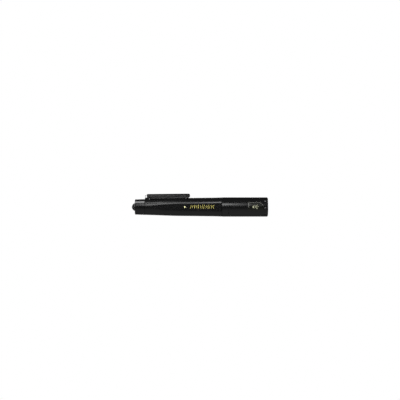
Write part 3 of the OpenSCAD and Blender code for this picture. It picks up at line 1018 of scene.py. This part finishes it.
shape = Shape()
angles = np.radians(np.arange(0, 360, 12))
shape.loft([
    [(54.6 + r * math.cos(a), y, 0.05 + r * math.sin(a)) for a in angles]
    for y, r in ((-FLAT + 0.03, 0.95), (-FLAT - 0.02, 0.95), (-FLAT - 0.03, 0.85))
], caps=True)
piece("print_dot", shape, "barrel", print_cream)

shape = Shape()
BARS = (0.55, 0.34, 0.44, 0.34, 0.57, 0.39, 0.34, 0.52, 0.36, 0.44, 0.34, 0.57, 0.39)
GAPS = (1.3, 1.78, 1.5)
s = 60.2
for i, width in enumerate(BARS):
    flat_bar(shape, s, s + width, -1.4, 2.1, 0.6)
    s += width + GAPS[i % len(GAPS)]
piece("print_marks", shape, "barrel", print_gold)

shape = Shape()
for s in np.arange(65.5, 80.5, 1.5):
    flat_bar(shape, s, s + 1.0, -2.9, -2.45)
piece("print_line", shape, "barrel", print_dim)


def wrapped(shape, rows, inner, outer, steps, cols=2):
    """A patch bent round the head, given as rows from a left point to a right point.

    A point is (station, arc length below the camera-side line).
    """
    rows = np.array(rows, float)
    rings = []
    for i in range(len(rows) - 1):
        for t in np.linspace(0, 1, steps + 1)[bool(i):]:
            left, right = rows[i] + (rows[i + 1] - rows[i]) * t
            line = [left + (right - left) * u for u in np.linspace(0, 1, cols + 1)]
            rings.append([
                polar(s, r, 90 + math.degrees(v / HEAD_R))
                for side, r in ((line, inner), (line[::-1], outer)) for s, v in side
            ])
    shape.loft(rings, caps=True)


LEFT, RIGHT, TOP, LOW, CUT = 119.5, 135.1, -5.2, 3.9, 3.4
plate = Shape()
wrapped(plate, [
    ((LEFT, TOP), (RIGHT - CUT, TOP)), ((LEFT, TOP + CUT), (RIGHT, TOP + CUT)),
    ((LEFT, LOW), (RIGHT, LOW)),
], HEAD_R - 0.05, HEAD_R + 0.008, 14, 8)
piece("badge_plate", plate, "head", badge_plate)

INK = (HEAD_R - 0.04, HEAD_R + 0.016)
lines = Shape()
wrapped(lines, [
    ((LEFT, 0.7), (LEFT + 0.8, 0.7)), ((LEFT, TOP), (LEFT + 0.8, TOP + 0.5)),
    ((RIGHT - CUT + 0.1, TOP), (RIGHT - CUT - 0.1, TOP + 0.5)),
    ((RIGHT + 0.1, TOP + CUT), (RIGHT - 0.5, TOP + CUT)),
], *INK, 14)
piece("badge_lines", lines, "head", badge_line)

# a lamp head with three rays
mark = Shape()
wrapped(mark, [((123.9, -0.9), (125.6, -1.9)), ((123.9, 0.5), (125.6, 1.5))], *INK, 10, 4)
for turn in (-32, 0, 32):
    u = np.array((math.cos(math.radians(turn)), math.sin(math.radians(turn))))
    w = np.array((-u[1], u[0]))
    start = np.array((126.0, -0.2)) + u * 0.9
    rows = [(start + w * side, start + u * 2.7 + w * side) for side in (-0.28, 0.28)]
    wrapped(mark, rows, *INK, 4, 8)
piece("badge_mark", mark, "head", badge_mark)


# ---- finishes for the CAD nodes that stay ----


def cover(material, *names):
    for name in names:
        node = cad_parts[name]
        node.data.materials.clear()
        node.data.materials.append(material)


cover(seal_rubber, "tail_seal_ring", "button_seal", "lens_gasket")
cover(
    brass, "return_strip", "return_terminal", "battery_terminal", "contact_bridge", "ring_contact",
    "centre_contact",
)
cover(aluminium, "seal_washer", "heat_sink")
cover(inner_cream, "switch_housing", "switch_plunger", "contact_carrier")
cover(cell_can(), "rear_cell", "front_cell")
for name in ("rear_cell_wrap", "front_cell_wrap"):
    low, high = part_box(name)
    cover(cell_wrap(low.x, high.x), name)
cover(circuit_board("driver_board_green", (0.01, 0.09, 0.035), (0.03, 0.16, 0.06)), "driver_board")
cover(circuit_board("led_board_white", (0.75, 0.76, 0.75), (0.66, 0.66, 0.62)), "led_board")
cover(chip_black, "board_components")


# ---- floor, backdrop, light and camera ----


def glow(name, color, strength):
    material = bpy.data.materials.new(name)
    material.use_nodes = True
    nodes, links = material.node_tree.nodes, material.node_tree.links
    nodes.clear()
    emission = nodes.new("ShaderNodeEmission")
    emission.inputs[0].default_value = (*color, 1)
    emission.inputs[1].default_value = strength
    output = nodes.new("ShaderNodeOutputMaterial")
    links.new(emission.outputs[0], output.inputs[0])
    return material


def stage_mesh(name, points, faces, material):
    mesh = bpy.data.meshes.new(name)
    mesh.from_pydata(points, [], faces)
    mesh.materials.append(material)
    obj = bpy.data.objects.new(name, mesh)
    bpy.context.scene.collection.objects.link(obj)
    obj.visible_glossy = obj.visible_diffuse = obj.visible_shadow = obj.visible_transmission = False
    obj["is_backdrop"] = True
    return obj


pale = glow("pale_paper", (1, 1, 1), 1.0)
FLOOR_SIZE = 6.0
corners = ((-1, -1), (1, -1), (1, 1), (-1, 1))
floor = [(x * FLOOR_SIZE, y * FLOOR_SIZE, cad_low.z - 0.0002) for x, y in corners]
stage_mesh("floor", floor, [(0, 1, 2, 3)], pale)
backdrop = Shape()
turns = np.arange(32) * 2 * math.pi / 32
tilts = np.radians(np.arange(-90, 91, 15))
levels = [(FLOOR_SIZE * math.cos(t), FLOOR_SIZE * math.sin(t)) for t in tilts]
backdrop.loft([[(r * math.cos(a), r * math.sin(a), z) for a in turns] for r, z in levels])
stage_mesh("backdrop", backdrop.points, backdrop.faces, pale)

scene = bpy.context.scene
world = bpy.data.worlds.new("studio")
scene.world = world
world.use_nodes = True
nodes, links = world.node_tree.nodes, world.node_tree.links
background = nodes["Background"]
direction = nodes.new("ShaderNodeTexCoord")
split = nodes.new("ShaderNodeSeparateXYZ")
links.new(direction.outputs["Generated"], split.inputs[0])


def ramp(socket, start, stop, low, high):
    made = nodes.new("ShaderNodeMapRange")
    made.interpolation_type = "SMOOTHSTEP"
    links.new(socket, made.inputs[0])
    for i, value in enumerate((start, stop, low, high), 1):
        made.inputs[i].default_value = value
    return made.outputs[0]


below = ramp(split.outputs[2], -0.1, -0.75, 0.09, 0.37)
above = ramp(split.outputs[2], 0.3, 0.9, 1.0, 1.4)
behind = ramp(split.outputs[1], -0.1, 0.5, 1.0, 0.45)
level = below
for factor in (above, behind):
    product = nodes.new("ShaderNodeMath")
    product.operation = "MULTIPLY"
    links.new(level, product.inputs[0])
    links.new(factor, product.inputs[1])
    level = product.outputs[0]
links.new(level, background.inputs["Strength"])
background.inputs["Color"].default_value = (1, 1, 1, 1)


def softbox(name, where, aim, width, height, radiance):
    """A rectangular light whose long side runs along the pen."""
    light = bpy.data.lights.new(name, "AREA")
    light.shape = "RECTANGLE"
    light.size, light.size_y = width, height
    light.energy = radiance * math.pi * width * height
    obj = bpy.data.objects.new(name, light)
    scene.collection.objects.link(obj)
    obj.location = where
    back = (obj.location - type(obj.location)(aim)).normalized()
    obj.rotation_mode = "QUATERNION"
    obj.rotation_quaternion = back.to_track_quat("Z", "Y")
    obj.visible_camera = False
    return obj


def around_pen(x, elevation, distance):
    """A place over the pen; elevation 0 is the camera's side and 90 is straight up."""
    e = math.radians(elevation)
    return (x, -distance * math.cos(e), AXIS_Z + distance * math.sin(e))


def strip(name, x0, x1, elevation, spread, distance, radiance):
    """A softbox along the pen that fills that spread of elevation, from one station to another."""
    x = (x0 + x1) / 2
    tall = 2 * distance * math.tan(math.radians(spread / 2))
    return softbox(name, around_pen(x, elevation, distance), (x, 0, AXIS_Z), x1 - x0, tall, radiance)


strip("rear_strip", -0.078, -0.044, 33, 24, 0.2, 6.0)
strip("middle_strip", -0.044, -0.006, 33, 22, 0.2, 2.6)
strip("front_strip", -0.006, 0.04, 31, 23, 0.2, 5.2)
strip("head_strip", 0.01, 0.034, 30, 20, 0.12, 3.0)
strip("shoulder_strip", -0.07, -0.044, 61, 18, 0.16, 5.0)
strip("back_strip", -0.6, 0.6, 175.5, 7, 0.4, 5.0)
for side in (-1, 1):
    softbox("wing", (0.42 * side, -0.32, AXIS_Z + 0.24), (0.03 * side, 0, AXIS_Z), 0.26, 0.2, 2.5)
    softbox("end", (0.5 * side, 0.05, AXIS_Z + 0.1), (0.07 * side, 0, AXIS_Z), 0.3, 0.14, 1.5)
fill = softbox("fill", around_pen(0, 25, 0.8), (0, 0, AXIS_Z), 0.4, 0.3, 8.0)
fill.visible_glossy = False
tail_light = strip("tail_overhead", -0.3, 0.02, 79, 24, 0.35, 8.0)
tail = bpy.data.collections.new("tail")
for name in ("tail_cap_skin", "button_skin"):
    tail.objects.link(bpy.data.objects[name])
tail_light.light_linking.receiver_collection = tail

camera = bpy.data.cameras.new("camera")
CAMERA_DISTANCE = 1.5
FRAME_WIDTH = 412 * MM
camera.sensor_width = 36
camera.lens = camera.sensor_width * CAMERA_DISTANCE / FRAME_WIDTH
view = bpy.data.objects.new("camera", camera)
scene.collection.objects.link(view)
middle = (cad_low.x + cad_high.x) / 2
view.location = (middle + 0.13 * MM, -CAMERA_DISTANCE, AXIS_Z + 7.21 * MM)
view.rotation_euler = (math.radians(90), 0, 0)
camera.clip_end = 20
scene.camera = view
scene.view_settings.view_transform = "Standard"
scene.view_settings.look = "None"

low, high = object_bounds()
